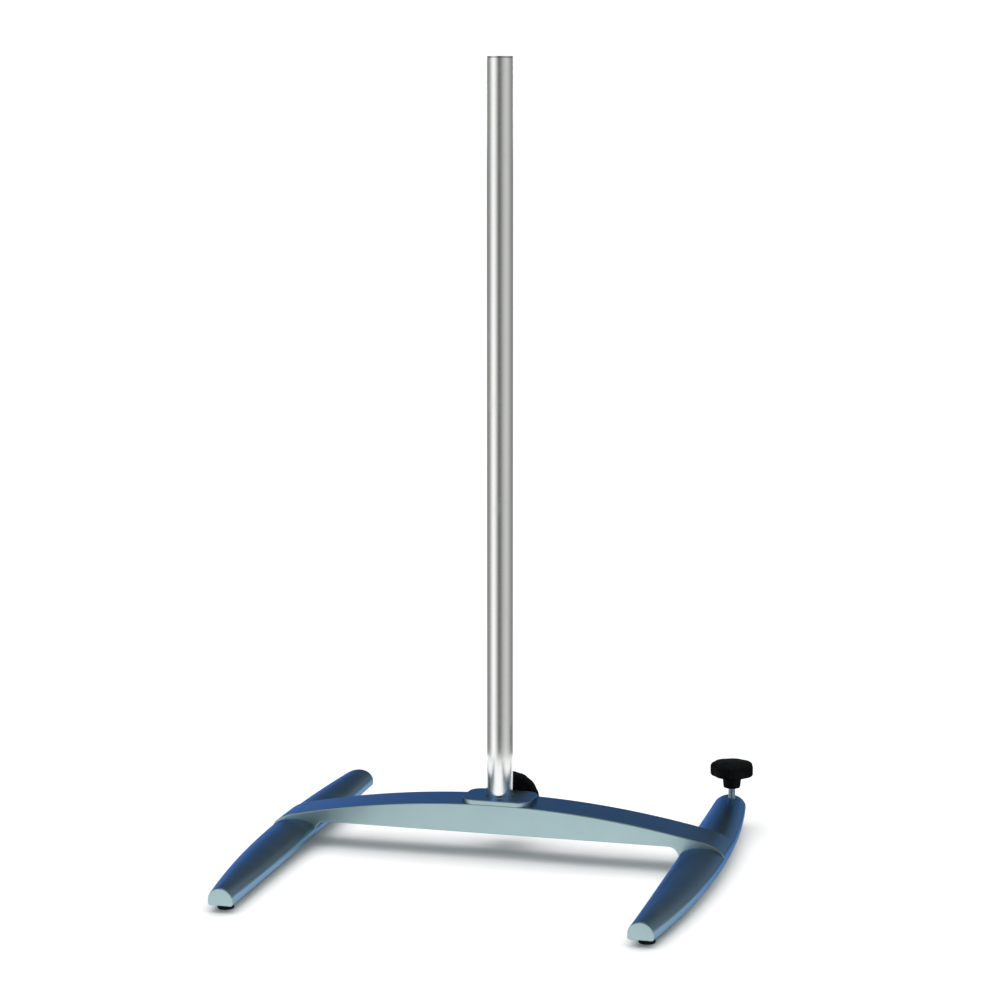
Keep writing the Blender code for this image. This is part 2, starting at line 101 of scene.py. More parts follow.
# Crossbeam
BEAM_BOTTOM = 36.0 * MM
ARCH_TOP = 75.0 * MM
ARCH_DROP = 0.39                  # fall of the top, over the square of the distance from the middle
SHOULDER_X = 278.0 * MM
SHOULDER_POWER = 1.54
HAUNCH = (234.5 * MM, 22.0 * MM, 14.0 * MM)          # centre x, centre z and radius
BEAM_EDGE = 1.3 * MM
BEAM_WALL = 8.0 * MM
BEAM_POCKET = (56.0 * MM, 212.0 * MM)
BEAM_POCKET_LOW = 20 * MM
BEAM_POCKET_CORNER = 6.0 * MM
SEAT = 24.3 * MM                  # underside of the beam's ends
CLAMP_BORE = (10 * MM, 31.7 * MM, 33.0 * MM, 60 * MM)   # start, chamfer from and to, and end
CLAMP_BORE_FLARE = (1.3 * MM, 2 * MM)                # widening over the chamfer and at the end

# Boss round the column
BOSS_WIDTH = 94.0 * MM
BOSS_DEPTH = 64.0 * MM
BOSS_CORNER = 18.0 * MM
BOSS_EDGE = 1.1 * MM
BOSS_LOW = 60 * MM                # hidden start of the boss inside the beam
SOCKET_RADIUS = COLUMN_RADIUS + GAP
SOCKET_FLOOR = 42.0 * MM
SOCKET_CHAMFER = 1.8 * MM

THREAD_PITCH = 1.5 * MM
THREAD_RADIUS = 5.0 * MM
THREAD_DEPTH = 0.85 * MM
THREAD_PLAY = 0.05 * MM
THREAD_POINT = 1.4 * MM           # how much thinner a thread's lower end is
THREAD_BORE = THREAD_RADIUS + GAP

KNOB_HUB = 16.0 * MM              # length of a knob's hub below its grip
KNOB_BORE_DEPTH = 18.0 * MM

FOOT_HOLE = 2.8 * MM
SCREW_SHANK = 2.45 * MM
SCREW_HEAD_TOP = 3.7 * MM
SCREW_SLOT = (2.4 * MM, 0.45 * MM)                   # half length and half width
HEXAGON_RADIUS = 3.46 * MM
KNURL_DEPTH = 0.16 * MM


# ---------------------------------------------------------------- small shape functions

def parabola(y, values):
    """Value at y of the parabola through the three leg stations."""
    p, q, r = STATIONS
    a, b, c = values
    return (a * (y - q) * (y - r) / ((p - q) * (p - r))
            + b * (y - p) * (y - r) / ((q - p) * (q - r))
            + c * (y - p) * (y - q) / ((r - p) * (r - q)))


def arch(x):
    """Top of the crossbeam at x."""
    return ARCH_TOP - ARCH_DROP * x * x


def arc(cx, cy, radius, start, end, steps):
    """Points on an arc, angles in degrees, both ends included."""
    angles = [math.radians(start + (end - start) * i / steps) for i in range(steps + 1)]
    return [(cx + radius * math.cos(a), cy + radius * math.sin(a)) for a in angles]


def quarter_turn(steps):
    """Angles from 0 to 90 degrees in equal steps, both ends included, in radians."""
    return [math.radians(90 * i / steps) for i in range(steps + 1)]


def inset_outline(points, distance):
    """Closed outline moved inwards by a distance, corner by corner."""
    moved = []
    count = len(points)
    for i in range(count):
        before = Vector(points[i]) - Vector(points[i - 1])
        after = Vector(points[(i + 1) % count]) - Vector(points[i])
        if before.length < 1e-9 or after.length < 1e-9:
            moved.append(points[i])
            continue
        n1 = Vector((-before.y, before.x)).normalized()
        n2 = Vector((-after.y, after.x)).normalized()
        bisector = n1 + n2
        if bisector.length < 1e-6:
            bisector = n1.copy()
        bisector.normalize()
        reach = distance / max(0.5, bisector.dot(n1))
        moved.append((points[i][0] + bisector.x * reach, points[i][1] + bisector.y * reach))
    return moved


# ---------------------------------------------------------------- mesh helpers

def loft(rings, closed=False):
    """Mesh through rings of equal length, capped at both ends or closed round on itself."""
    bm = bmesh.new()
    rows = [[bm.verts.new(point) for point in ring] for ring in rings]
    count = len(rows[0])
    pairs = list(zip(rows, rows[1:]))
    if closed:
        pairs.append((rows[-1], rows[0]))
    for low, high in pairs:
        for i in range(count):
            j = (i + 1) % count
            bm.faces.new((low[i], low[j], high[j], high[i]))
    if not closed:
        bm.faces.new(list(reversed(rows[0])))
        bm.faces.new(rows[-1])
    bmesh.ops.recalc_face_normals(bm, faces=bm.faces[:])
    return bm


def circle(radius, z, segments, centre=(0.0, 0.0)):
    """Ring of points about Z."""
    angles = [2 * math.pi * i / segments for i in range(segments)]
    return [(centre[0] + radius * math.cos(a), centre[1] + radius * math.sin(a), z) for a in angles]


def turned(profile, segments, closed=False):
    """Solid of revolution about Z through (radius, z) points."""
    return loft([circle(radius, z, segments) for radius, z in profile], closed)


def add_piece(name, bm, body, material, replaces, place=(0, 0, 0), turn=(0, 0, 0), sharp=34):
    """A finished piece: placed, shaded, given its material and tied to the frame."""
    mesh = bpy.data.meshes.new(name)
    bm.to_mesh(mesh)
    bm.free()
    mesh.shade_smooth()
    mesh.set_sharp_from_angle(angle=math.radians(sharp))
    piece = bpy.data.objects.new(name, mesh)
    bpy.context.scene.collection.objects.link(piece)
    piece.location = place
    piece.rotation_euler = turn
    mesh.materials.append(material)
    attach(piece, body)
    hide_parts(*replaces)
    return piece


def add_tool(bm, place=(0, 0, 0), turn=(0, 0, 0)):
    """A temporary mesh that a Boolean uses."""
    mesh = bpy.data.meshes.new("tool")
    bm.to_mesh(mesh)
    bm.free()
    tool = bpy.data.objects.new("tool", mesh)
    bpy.context.scene.collection.objects.link(tool)
    tool.location = place
    tool.rotation_euler = turn
    return tool


def carve(bm, tools):
    """Apply Booleans, given as (bmesh, operation, place, turn), and return the finished bmesh."""
    work = add_tool(bm)
    helpers = []
    for shape, operation, place, turn in tools:
        helper = add_tool(shape, place, turn)
        helpers.append(helper)
        cut = work.modifiers.new("cut", "BOOLEAN")
        cut.operation = operation
        cut.solver = "EXACT"
        cut.object = helper
    bpy.context.view_layer.update()
    shaped = work.evaluated_get(bpy.context.evaluated_depsgraph_get())
    result = bmesh.new()
    result.from_mesh(shaped.to_mesh())
    shaped.to_mesh_clear()
    for item in helpers + [work]:
        mesh = item.data
        bpy.data.objects.remove(item)
        bpy.data.meshes.remove(mesh)
    return result


def weigh_normals(piece):
    """Keep big flat faces flat next to their small rounded edges."""
    weighted = piece.modifiers.new("flat_faces", "WEIGHTED_NORMAL")
    weighted.keep_sharp = True
    weighted.weight = 60


# ---------------------------------------------------------------- node helpers

class Nodes:
    """A material's or world's node tree, with short ways to add and join nodes."""

    def __init__(self, name, world=None):
        self.owner = world or bpy.data.materials.new(name)
        self.owner.use_nodes = True
        self.tree = self.owner.node_tree
        self.shader = self.tree.nodes["Background" if world else "Principled BSDF"]

    def add(self, kind, **values):
        """A node; values set its inputs by name, or its properties."""
        node = self.tree.nodes.new(kind)
        for key, value in values.items():
            label = key.replace("_", " ")
            socket = next((s for s in node.inputs if s.name == label or s.identifier == key), None)
            if socket is not None:
                socket.default_value = value
            else:
                setattr(node, key, value)
        return node

    def join(self, output, target):
        """Link an output to an input."""
        self.tree.links.new(output, target)

    def set(self, **values):
        """Constant values on the Principled shader's own sockets."""
        for key, value in values.items():
            self.shader.inputs[key.replace("_", " ")].default_value = value

    def position(self, scale=(1.0, 1.0, 1.0)):
        """Object-space position, scaled."""
        where = self.add("ShaderNodeTexCoord")
        mapping = self.add("ShaderNodeMapping")
        mapping.inputs["Scale"].default_value = scale
        self.join(where.outputs["Object"], mapping.inputs["Vector"])
        return mapping.outputs["Vector"]

    def noise(self, vector, scale, detail, roughness=0.55):
        """Noise value over a vector."""
        node = self.add("ShaderNodeTexNoise")
        node.inputs["Scale"].default_value = scale
        node.inputs["Detail"].default_value = detail
        node.inputs["Roughness"].default_value = roughness
        self.join(vector, node.inputs["Vector"])
        return node.outputs["Fac"]

    def remap(self, value, low, high, to_low, to_high, shape="LINEAR"):
        """Map of a value from one range to another, clamped."""
        node = self.add("ShaderNodeMapRange", interpolation_type=shape)
        ends = (("From Min", low), ("From Max", high), ("To Min", to_low), ("To Max", to_high))
        for name, number in ends:
            node.inputs[name].default_value = number
        self.join(value, node.inputs["Value"])
        return node.outputs["Result"]

    def mix(self, factor, first, second):
        """Mix of two colours or colour outputs by a value output."""
        node = self.add("ShaderNodeMix", data_type="RGBA")
        self.join(factor, node.inputs["Factor"])
        for value, name in ((first, 6), (second, 7)):
            if isinstance(value, tuple):
                node.inputs[name].default_value = (*value, 1.0)
            else:
                self.join(value, node.inputs[name])
        return node.outputs[2]

    def ramp(self, value, stops):
        """Colour ramp over a value from (place, colour) stops."""
        node = self.add("ShaderNodeValToRGB")
        elements = node.color_ramp.elements
        while len(elements) > 1:
            elements.remove(elements[-1])
        elements[0].position = stops[0][0]
        elements[0].color = (*stops[0][1], 1.0)
        for place, colour in stops[1:]:
            elements.new(place).color = (*colour, 1.0)
        self.join(value, node.inputs["Fac"])
        return node.outputs["Color"]

    def math(self, operation, first, second=None):
        """One Math node."""
        node = self.add("ShaderNodeMath", operation=operation)
        for value, index in ((first, 0), (second, 1)):
            if value is None:
                continue
            if isinstance(value, (int, float)):
                node.inputs[index].default_value = value
            else:
                self.join(value, node.inputs[index])
        return node.outputs[0]

    def bump(self, height, strength, distance, below=None):
        """Bump from a height, over another bump if given."""
        node = self.add("ShaderNodeBump")
        node.inputs["Strength"].default_value = strength
        node.inputs["Distance"].default_value = distance
        self.join(height, node.inputs["Height"])
        if below is not None:
            self.join(below, node.inputs["Normal"])
        return node.outputs["Normal"]

    def edges(self, low, high):
        """0 on flat parts to 1 on outward edges."""
        geometry = self.add("ShaderNodeNewGeometry")
        return self.remap(geometry.outputs["Pointiness"], low, high, 0.0, 1.0)


# ---------------------------------------------------------------- materials

PAINT_FACE = (0.358, 0.490, 0.512)
PAINT_EDGE_TINT = (0.02, 0.15, 0.58, 1.0)


def paint_material():
    """Metallic blue-grey enamel: bright seen square on, blue at a glancing angle."""
    n = Nodes("blue_grey_enamel")
    n.set(Metallic=1.0, Specular_Tint=PAINT_EDGE_TINT, Coat_Weight=0.06, Coat_Roughness=0.16)
    where = n.position()
    clouds = n.noise(where, 9.0, 4.0)
    colour = n.mix(n.remap(clouds, 0.35, 0.65, 0.0, 1.0), tuple(c * 0.965 for c in PAINT_FACE),
                   tuple(c * 1.03 for c in PAINT_FACE))
    flakes = n.add("ShaderNodeTexVoronoi", Scale=2600.0)
    n.join(where, flakes.inputs["Vector"])
    flake_tone = n.remap(flakes.outputs["Color"], 0.0, 1.0, 0.0, 1.0)
    colour = n.mix(n.math("MULTIPLY", flake_tone, 0.10), colour, (0.62, 0.74, 0.78))
    patches = n.remap(n.noise(where, 140.0, 5.0), 0.50, 0.72, 0.0, 1.0)
    worn = n.math("MULTIPLY", n.edges(0.54, 0.66), patches)
    colour = n.mix(n.math("MULTIPLY", worn, 0.45), colour, (0.66, 0.70, 0.70))
    n.join(colour, n.shader.inputs["Base Color"])
    rough = n.remap(n.noise(where, 34.0, 5.0), 0.3, 0.7, 0.31, 0.37)
    n.join(rough, n.shader.inputs["Roughness"])
    peel = n.bump(n.noise(where, 420.0, 2.0), 0.10, 0.00035)
    n.join(n.bump(n.noise(where, 3200.0, 1.0), 0.05, 0.00012, peel), n.shader.inputs["Normal"])
    return n.owner


def column_material():
    """Ground and polished tube: fine rings round it spread its reflections up and down."""
    n = Nodes("polished_tube")
    n.set(Metallic=1.0, Anisotropic=1.0, Anisotropic_Rotation=0.0)
    where = n.position()
    rings = n.noise(n.position((60.0, 60.0, 9000.0)), 1.0, 2.0)
    drift = n.noise(n.position((12.0, 12.0, 1.6)), 1.0, 3.0)
    colour = n.mix(n.remap(drift, 0.3, 0.7, 0.0, 1.0), (0.80, 0.815, 0.80), (0.86, 0.87, 0.855))
    n.join(colour, n.shader.inputs["Base Color"])
    smudge = n.noise(where, 26.0, 6.0, 0.62)
    rough = n.math("ADD", n.remap(rings, 0.3, 0.7, 0.165, 0.20), n.remap(smudge, 0.55, 0.78, 0.0, 0.05))
    n.join(rough, n.shader.inputs["Roughness"])
    tangent = n.add("ShaderNodeTangent", direction_type="RADIAL", axis="Z")
    n.join(tangent.outputs["Tangent"], n.shader.inputs["Tangent"])
    n.join(n.bump(rings, 0.05, 0.00006), n.shader.inputs["Normal"])
    return n.owner


def turned_metal(name, dark, bright, low, high, blotch=60.0):
    """Machined metal: fine turning marks and a soft drift of tone."""
    n = Nodes(name)
    n.set(Metallic=1.0)
    where = n.position()
    tone = n.noise(where, blotch, 4.0)
    worn = n.math("MULTIPLY", n.edges(0.53, 0.64), 0.6)
    colour = n.mix(n.remap(tone, 0.3, 0.7, 0.0, 1.0), dark, bright)
    rubbed = tuple(min(1.0, c * 1.25) for c in bright)
    n.join(n.mix(worn, colour, rubbed), n.shader.inputs["Base Color"])
    marks = n.noise(n.position((400.0, 400.0, 5200.0)), 1.0, 2.0)
    n.join(n.remap(n.noise(where, 180.0, 4.0), 0.3, 0.7, low, high), n.shader.inputs["Roughness"])
    n.join(n.bump(marks, 0.12, 0.00008), n.shader.inputs["Normal"])
    return n.owner


def moulded_plastic(name, colour, low, high, grain=1500.0):
    """Black moulding with a fine spark-eroded grain, polished a little on its edges."""
    n = Nodes(name)
    n.set(Metallic=0.0, Specular_IOR_Level=0.0, Coat_Weight=0.05, Coat_Roughness=0.35)
    where = n.position()
    dust = n.noise(where, 90.0, 5.0)
    base = n.mix(n.remap(dust, 0.45, 0.8, 0.0, 1.0), colour, tuple(c * 1.7 + 0.0015 for c in colour))
    rubbed = n.edges(0.53, 0.66)
    n.join(n.mix(n.math("MULTIPLY", rubbed, 0.5), base, tuple(c * 2.2 + 0.004 for c in colour)),
           n.shader.inputs["Base Color"])
    rough = n.math("SUBTRACT", n.remap(n.noise(where, 45.0, 4.0), 0.3, 0.7, low, high),
                   n.math("MULTIPLY", rubbed, 0.08))
    n.join(rough, n.shader.inputs["Roughness"])
    n.join(n.bump(n.noise(where, grain, 2.0), 0.22, 0.00012), n.shader.inputs["Normal"])
    return n.owner


def build_materials():
    """All finishes by slot."""
    return {
        "paint": paint_material(),
        "column_steel": column_material(),
        "column_end": turned_metal("turned_end", (0.50, 0.52, 0.53), (0.62, 0.64, 0.64), 0.26, 0.38),
        "zinc_steel": turned_metal("zinc_plate", (0.33, 0.44, 0.50), (0.50, 0.62, 0.68), 0.24, 0.38,
                                   blotch=130.0),
        "brass": turned_metal("turned_brass", (0.58, 0.42, 0.18), (0.72, 0.55, 0.27), 0.26, 0.40),
        "knob_plastic": moulded_plastic("black_moulding", (0.0035, 0.004, 0.0045), 0.36, 0.48),
        "pad_plastic": moulded_plastic("matt_moulding", (0.016, 0.016, 0.018), 0.45, 0.58, grain=1100.0),
        "foot_rubber": moulded_plastic("moulded_rubber", (0.016, 0.012, 0.018), 0.62, 0.78, grain=900.0),
    }


# ---------------------------------------------------------------- legs

def leg_section(y, side, inset=0.0, drop=0.0, dome_steps=48, corner_steps=6):
    """Ring of the leg at y: flat underside, upright sides, domed top."""
    nose = max(0.0, (y - (LEG_REAR - LEG_NOSE)) / LEG_NOSE)
    width = math.sqrt(max(0.0, 1.0 - nose * nose))
    outer = parabola(y, OUTER_X)
    low = parabola(y, BOTTOM_Z)
    high = parabola(y, TOP_Z)
    high = low + (high - low) * (1.0 - NOSE_DROP * nose ** 3)
    centre = (LEG_INNER + outer) / 2
    half = (outer - LEG_INNER) / 2 * width - inset
    side_z = low + (high - low) * SIDE_SHARE
    crown = high - side_z - inset
    low -= drop
    corner = min(LEG_CORNER, half * 0.6)
    outline = arc(half - corner, low + corner, corner, -90, 0, corner_steps)
    dome = [math.radians(180 * i / dome_steps) for i in range(dome_steps + 1)]
    outline += [(half * math.cos(a), side_z + crown * math.sin(a)) for a in dome]
    outline += arc(-half + corner, low + corner, corner, 180, 270, corner_steps)
    return [(side * (centre + x), y, z) for x, z in outline]


def shrink_ring(ring, y, amount):
    """Ring moved to y with every point drawn towards the ring's middle by an amount."""
    cx = (min(p[0] for p in ring) + max(p[0] for p in ring)) / 2
    cz = (min(p[2] for p in ring) + max(p[2] for p in ring)) / 2
    moved = []
    for x, _, z in ring:
        reach = math.hypot(x - cx, z - cz)
        share = (reach - amount) / reach
        moved.append((cx + (x - cx) * share, y, cz + (z - cz) * share))
    return moved


def leg_rings(side):
    """Rings of the whole leg, flat face with rounded edge in front, rounded nose behind."""
    straight_end = LEG_REAR - LEG_NOSE
    first = LEG_FRONT + LEG_EDGE
    face = leg_section(first, side)
    rings = [shrink_ring(face, first - LEG_EDGE * math.cos(angle), LEG_EDGE * (1 - math.sin(angle)))
             for angle in quarter_turn(5)[:-1]]
    steps = 90
    rings += [leg_section(first + (straight_end - first) * i / steps, side) for i in range(steps + 1)]
    nose_angles = [math.radians(4.0 * i) for i in range(1, 20)]
    rings += [leg_section(straight_end + LEG_NOSE * math.sin(angle), side) for angle in nose_angles]
    rings.append(shrink_ring(rings[-1], LEG_REAR, NOSE_SHRINK))
    return rings


def pocket_section(y, side):
    """Ring of the hollow underside at y."""
    return leg_section(y, side, LEG_WALL, POCKET_DROP, 24, 3)


def pocket(start, end, side):
    """Tool for the hollow underside of a leg, with rounded ends."""
    steps = 14
    end_steps = 5
    first = start + POCKET_END
    face = pocket_section(first, side)
    rings = []
    for i in range(end_steps):
        angle = math.radians(90 * (i + 0.5) / end_steps)
        rings.append(shrink_ring(face, start + POCKET_END * (1 - math.cos(angle)),
                                 (1 - math.sin(angle)) * POCKET_SHRINK))
    length = end - start - 2 * POCKET_END
    rings += [pocket_section(first + length * i / steps, side) for i in range(1, steps + 1)]
    rings.append(shrink_ring(pocket_section(end - POCKET_END, side), end, POCKET_SHRINK))
    return loft(rings)


def leg_feet(side):
    """Names of the rubber feet under one leg."""
    hand = "right" if side > 0 else "left"
    names = [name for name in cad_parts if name.startswith("foot_") and "screw" not in name]
    return sorted(name for name in names if name.endswith(hand))


def build_leg(name, side, material):
    """One leg casting with hollow underside, spot faces and holes."""
    hand = "right" if side > 0 else "left"
    none = (0, 0, 0)
    tools = [(pocket(start, end, side), "DIFFERENCE", none, none) for start, end in LEG_POCKETS]
    for foot in leg_feet(side):
        centre = middle(foot) - COLUMN
        heights = (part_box(foot)[1].z + 0.25 * MM, FOOT_BOSS_TOP)
        boss = loft([circle(FOOT_BOSS_RADIUS, z, 64, (centre.x, centre.y)) for z in heights])
        tools.append((boss, "UNION", none, none))
    for end in ("front", "rear"):
        bolt = middle("leg_bolt_{}_{}".format(hand, end)) - COLUMN
        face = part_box("leg_washer_{}_{}".format(hand, end))[1].z + GAP
        spot = loft([circle(SPOT_FACE_RADIUS, z, 64, (bolt.x, bolt.y)) for z in (0.0, face)])
        tools.append((spot, "DIFFERENCE", none, none))
    if side > 0:
        screw = LEVEL - COLUMN
        foot_of_screw = (screw.x, screw.y, 0.0)
        flare, flare_low, flare_high = LEVEL_FLARE
        bush, bush_top = LEVEL_BUSH_HOLE
        hole = turned([(LEVEL_HOLE_RADIUS, 0.0), (LEVEL_HOLE_RADIUS, flare_low), (flare, flare_high)], 64)
        tools.append((hole, "DIFFERENCE", foot_of_screw, none))
        tools.append((turned([(bush, 0.0), (bush, bush_top)], 64), "DIFFERENCE", foot_of_screw, none))
    leg = add_piece(name, carve(loft(leg_rings(side)), tools), "base", material, ["leg_" + hand],
                    place=(0, COLUMN.y, 0), sharp=38)
    weigh_normals(leg)


# ---------------------------------------------------------------- crossbeam

def beam_outline():
    """Front view of the crossbeam, round from the middle of its underside."""
    cx, cz, radius = HAUNCH
    right = [(cx * i / 8, BEAM_BOTTOM) for i in range(1, 8)]
    right += [(x, z) for x, z in arc(cx, cz, radius, 90, 10, 14) if z > SEAT + 0.4 * MM]
    right.append((cx + radius, SEAT))
    right.append((BEAM_END, SEAT))
    shoulder = arch(SHOULDER_X)
    for angle in quarter_turn(16)[1:-1]:
        right.append((SHOULDER_X + (BEAM_END - SHOULDER_X) * math.cos(angle) ** SHOULDER_POWER,
                      SEAT + (shoulder - SEAT) * math.sin(angle)))
    steps = 48
    right += [(SHOULDER_X * (1 - i / steps), arch(SHOULDER_X * (1 - i / steps))) for i in range(steps)]
    left = [(-x, z) for x, z in reversed(right)]
    return [(0.0, BEAM_BOTTOM)] + right + [(0.0, ARCH_TOP)] + left


def rounded_rectangle(width, depth, radius, z):
    """Ring of a rounded rectangle about Z."""
    points = []
    for sx, sy, start in ((1, 1, 0), (-1, 1, 90), (-1, -1, 180), (1, -1, 270)):
        corner = arc(sx * (width / 2 - radius), sy * (depth / 2 - radius), radius, start, start + 90, 12)
        points += [(x, y, z) for x, y in corner]
    return points


def boss_shape():
    """Raised boss with a rounded top edge."""
    rings = [rounded_rectangle(BOSS_WIDTH, BOSS_DEPTH, BOSS_CORNER, BOSS_LOW)]
    for angle in quarter_turn(5):
        inset = BOSS_EDGE * (1 - math.cos(angle))
        rings.append(rounded_rectangle(BOSS_WIDTH - 2 * inset, BOSS_DEPTH - 2 * inset, BOSS_CORNER - inset,
                                       BOSS_TOP - BOSS_EDGE + BOSS_EDGE * math.sin(angle)))
    return loft(rings)


def beam_pocket(side):
    """Tool for the hollow underside of the crossbeam on one side, with rounded upright corners."""
    near, far = BEAM_POCKET
    xs = [near + (far - near) * i / 16 for i in range(17)]
    hollow = [(side * x, arch(x) - BEAM_WALL) for x in xs]
    hollow += [(side * far, BEAM_POCKET_LOW), (side * near, BEAM_POCKET_LOW)]
    depth = BEAM_HALF_DEPTH - BEAM_WALL
    shape = loft([[(x, y, z) for x, z in hollow] for y in (-depth, depth)])
    upright = [edge for edge in shape.edges
               if abs(edge.verts[0].co.x - edge.verts[1].co.x) < 1e-6
               and abs(edge.verts[0].co.y - edge.verts[1].co.y) < 1e-6]
    bmesh.ops.bevel(shape, geom=upright, offset=BEAM_POCKET_CORNER, segments=5, affect="EDGES", profile=0.5)
    return shape


def build_crossbeam(material):
    """Crossbeam casting: arch, boss, socket, clamp bore and hollow underside."""
    outline = beam_outline()
    rings = []
    for angle in quarter_turn(4):
        ring = inset_outline(outline, BEAM_EDGE * (1 - math.sin(angle)))
        y = -BEAM_HALF_DEPTH + BEAM_EDGE * (1 - math.cos(angle))
        rings.append([(x, y, z) for x, z in ring])
    rings += [[(x, -y, z) for x, y, z in ring] for ring in reversed(rings)]
    none = (0, 0, 0)
    tools = [(boss_shape(), "UNION", none, none)]
    tools += [(beam_pocket(side), "DIFFERENCE", none, none) for side in (-1, 1)]
    socket = turned([(SOCKET_RADIUS, SOCKET_FLOOR), (SOCKET_RADIUS, BOSS_TOP - SOCKET_CHAMFER),
                     (SOCKET_RADIUS + SOCKET_CHAMFER + MM, BOSS_TOP + MM)], 128)
    tools.append((socket, "DIFFERENCE", none, none))
    low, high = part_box("clamp_bush")
    radius = (high.x - low.x) / 2 + GAP
    start, chamfer, face, end = CLAMP_BORE
    flare, mouth = CLAMP_BORE_FLARE
    bore = turned([(radius, start), (radius, chamfer), (radius + flare, face), (radius + mouth, end)], 64)
    tools.append((bore, "DIFFERENCE", (0, 0, CLAMP.z), (-math.pi / 2, 0, 0)))
    beam = add_piece("crossbeam_cast", carve(loft(rings), tools), "base", material, ["crossbeam"],
                     place=(0, COLUMN.y, 0), sharp=38)
    weigh_normals(beam)


# ---------------------------------------------------------------- column

def build_column(finish):
    """Column tube, its turned end and the plug in its foot."""
    place = (COLUMN.x, COLUMN.y, 0)
    wall = 2.5 * MM
    bore = COLUMN_RADIUS - wall
    steps = 60
    edge = 0.6 * MM
    length = COLUMN_HIGH - COLUMN_LOW - 1.2 * edge
    tube = [(bore, COLUMN_LOW), (COLUMN_RADIUS - edge, COLUMN_LOW)]
    tube += [(COLUMN_RADIUS, COLUMN_LOW + edge + length * i / steps) for i in range(steps + 1)]
    tube += [(COLUMN_RADIUS - 0.2 * edge, COLUMN_HIGH), (bore, COLUMN_HIGH)]
    add_piece("column_shaft", turned(tube, 160, closed=True), "column",
              finish["column_steel"], ["column_tube"], place=place)
    low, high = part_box("column_cap")
    under = COLUMN_HIGH + GAP
    rim = COLUMN_RADIUS
    spigot = bore - GAP
    groove = high.z - 0.25 * MM
    cap = [(spigot, low.z), (spigot, under), (rim - GAP, under), (rim, under + GAP),
           (rim, high.z - 0.5 * MM), (rim - 0.15 * MM, high.z - 0.15 * MM), (rim - 0.5 * MM, high.z),
           (rim - 4.0 * MM, high.z), (rim - 4.3 * MM, groove), (rim - 4.8 * MM, groove),
           (rim - 5.1 * MM, high.z), (2.2 * MM, high.z), (1.2 * MM, high.z - 0.8 * MM),
           (0.2 * MM, high.z - 1.6 * MM)]
    add_piece("column_end_cap", turned(cap, 128), "column", finish["column_end"],
              ["column_cap"], place=place, sharp=25)
    low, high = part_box("column_plug")
    plug = [(bore - 0.8 * MM, low.z), (spigot, low.z + 0.5 * MM), (spigot, high.z - 0.5 * MM),
            (bore - 0.8 * MM, high.z)]
    add_piece("column_foot_plug", turned(plug, 96), "column", finish["column_end"],
              ["column_plug"], place=place, sharp=25)


# ---------------------------------------------------------------- knobs, threads and turned parts

def knob_profile(radius, hub_low, hub_high, length):
    """Outline of a hand knob: radius, height and share of the full lobe depth."""
    profile = [(THREAD_BORE, KNOB_BORE_DEPTH, 0), (THREAD_BORE, 0.6 * MM, 0),
               (THREAD_BORE + 0.6 * MM, 0.0, 0), (hub_low - 0.9 * MM, 0.0, 0),
               (hub_low - 0.25 * MM, 0.25 * MM, 0), (hub_low, 0.9 * MM, 0)]
    for i in range(1, 6):
        share = i / 6
        profile.append((hub_low + (hub_high - hub_low) * share, KNOB_HUB * 0.9 * share, 0))
    profile.append((hub_high + 0.8 * MM, KNOB_HUB - 0.9 * MM, 0))
    profile.append((hub_high + 2.6 * MM, KNOB_HUB - 0.1 * MM, 0.05))
    for share in (0.35, 0.6, 0.8):
        profile.append((radius * share + 2 * MM, KNOB_HUB + 0.2 * MM + 0.6 * MM * share, share * 0.5))
    rim_low = 4.0 * MM
    for angle in quarter_turn(8):
        profile.append((radius - rim_low * (1 - math.sin(angle)),
                        KNOB_HUB + 0.8 * MM + rim_low * (1 - math.cos(angle)),
                        0.75 + 0.25 * math.sin(angle)))
    rim_high = min(5.5 * MM, (length - KNOB_HUB) * 0.42)
    shoulder = length - 1.3 * MM
    for angle in quarter_turn(10):
        profile.append((radius - rim_high * (1 - math.cos(angle)),
                        shoulder - rim_high * (1 - math.sin(angle)),
                        1.0 - 0.45 * math.sin(angle)))
    inner = radius - rim_high
    for share in (0.92, 0.82, 0.70, 0.60):
        profile.append((inner * share, shoulder + 1.1 * MM * (1 - share * share) * 1.2,
                        0.5 * max(0.0, (share - 0.5) / 0.5) ** 2))
    cap = inner * 0.52
    crown = length - 0.35 * MM
    profile += [(cap + 0.5 * MM, crown, 0), (cap + 0.3 * MM, crown - 0.7 * MM, 0),
                (cap, crown - 0.7 * MM, 0), (cap - 0.25 * MM, crown - 0.1 * MM, 0),
                (cap - 0.8 * MM, crown + 0.05 * MM, 0)]
    for share in (0.7, 0.4, 0.12):
        profile.append((cap * share, crown + 0.3 * MM * (1 - share * share), 0))
    return profile


def lobed_knob(radius, length, hub_low, hub_high, lobes, depth):
    """Hand knob about +Z: tapering hub, grip with rounded rim and shallow lobes, dished top with a cap."""
    segments = 24 * lobes
    rings = []
    for r, z, lobe in knob_profile(radius, hub_low, hub_high, length):
        ring = []
        for i in range(segments):
            angle = 2 * math.pi * i / segments
            dip = depth * lobe * (0.5 - 0.5 * math.cos(lobes * (angle - math.pi / 2))) ** 2
            ring.append(((r - dip) * math.cos(angle), (r - dip) * math.sin(angle), min(z, length)))
        rings.append(ring)
    return loft(rings)


